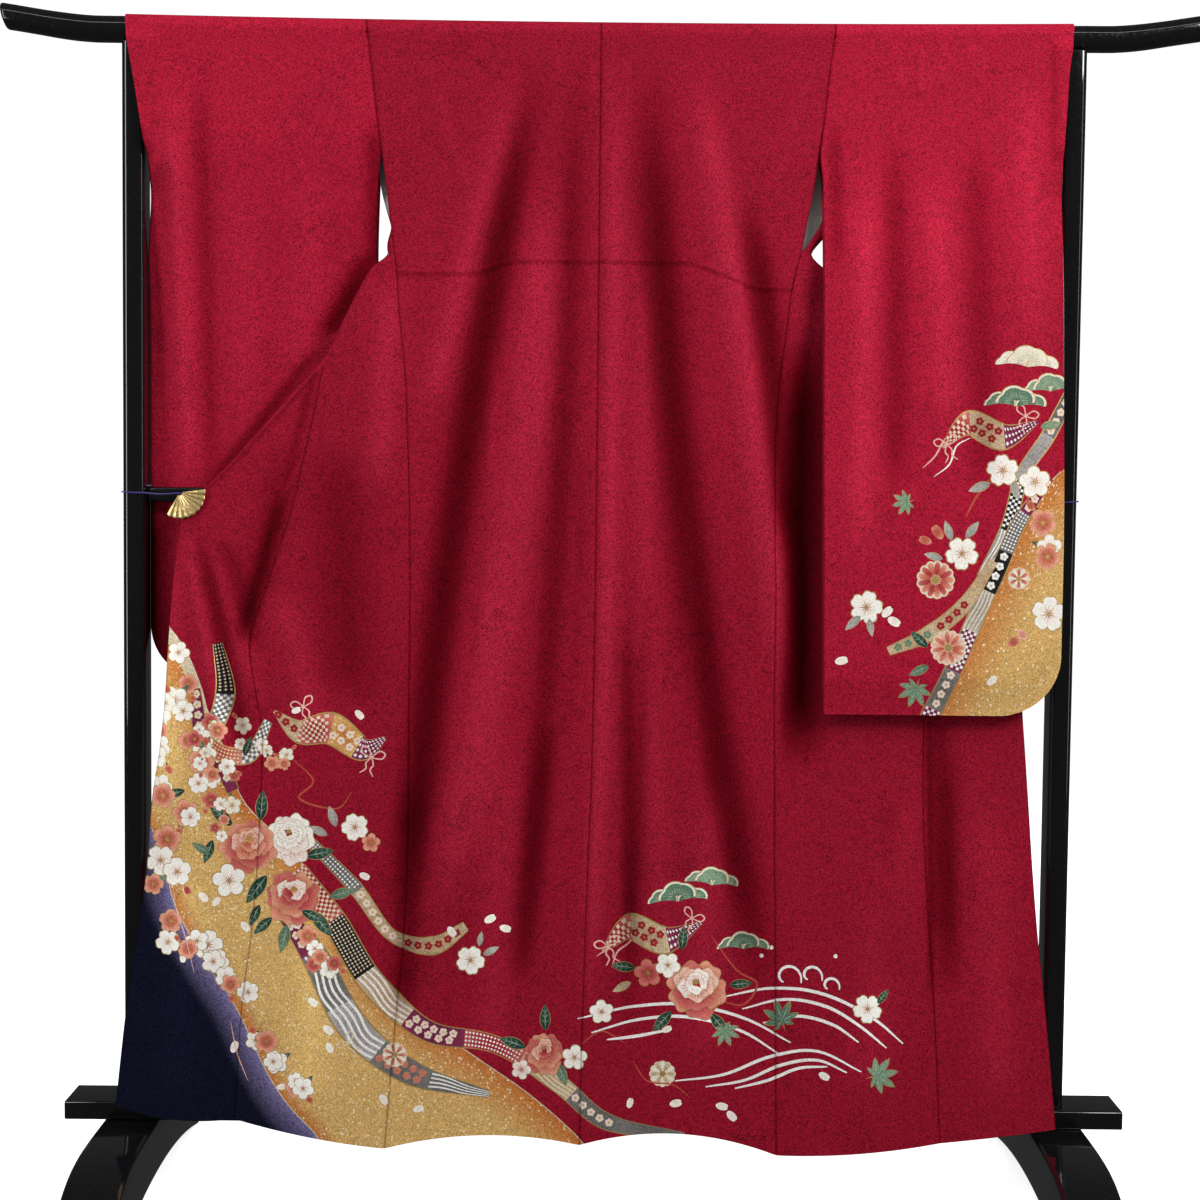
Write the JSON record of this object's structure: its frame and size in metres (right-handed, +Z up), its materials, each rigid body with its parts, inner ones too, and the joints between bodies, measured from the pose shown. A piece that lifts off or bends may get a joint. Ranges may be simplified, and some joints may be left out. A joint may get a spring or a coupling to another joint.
{
  "type": "furisode kimono on a kimono stand",
  "caption": "Long-sleeved furisode kimono hung over the top bar of a black lacquered kimono stand, back outwards, fronts spread by fan clips.",
  "frame": {"origin": "on the floor, at the bottom centre of the box round the stand and the garment, midway between the two feet", "axes": "+X to the viewer's right along the top bar, +Y away from the viewer who faces the garment's back, +Z up"},
  "size_m": [1.738, 0.67, 1.7135],
  "materials": {
    "crimson_silk": "crimson figured satin crepe with dyed, gilded and outlined motifs, lined",
    "black_lacquer": "black gloss lacquer on wood",
    "gold_clip": "polished gold-coloured metal",
    "violet_cord": "twisted violet cord"
  },
  "bodies": {
    "root": {"back_left": "crimson_silk", "back_right": "crimson_silk", "front_left": "crimson_silk", "front_right": "crimson_silk", "okumi_left": "crimson_silk", "okumi_right": "crimson_silk", "sleeve_near_left": "crimson_silk", "sleeve_near_right": "crimson_silk", "sleeve_far_left": "crimson_silk", "sleeve_far_right": "crimson_silk", "collar": "crimson_silk", "top_bar": "black_lacquer", "post_left": "black_lacquer", "post_right": "black_lacquer", "crossbar": "black_lacquer", "base_beam": "black_lacquer", "foot_left": "black_lacquer", "foot_right": "black_lacquer", "fan_clip_left": "gold_clip", "fan_clip_right": "gold_clip", "clip_jaw_left": "gold_clip", "clip_jaw_right": "gold_clip", "cord_left": "violet_cord", "cord_right": "violet_cord"}
  },
  "joints": []
}
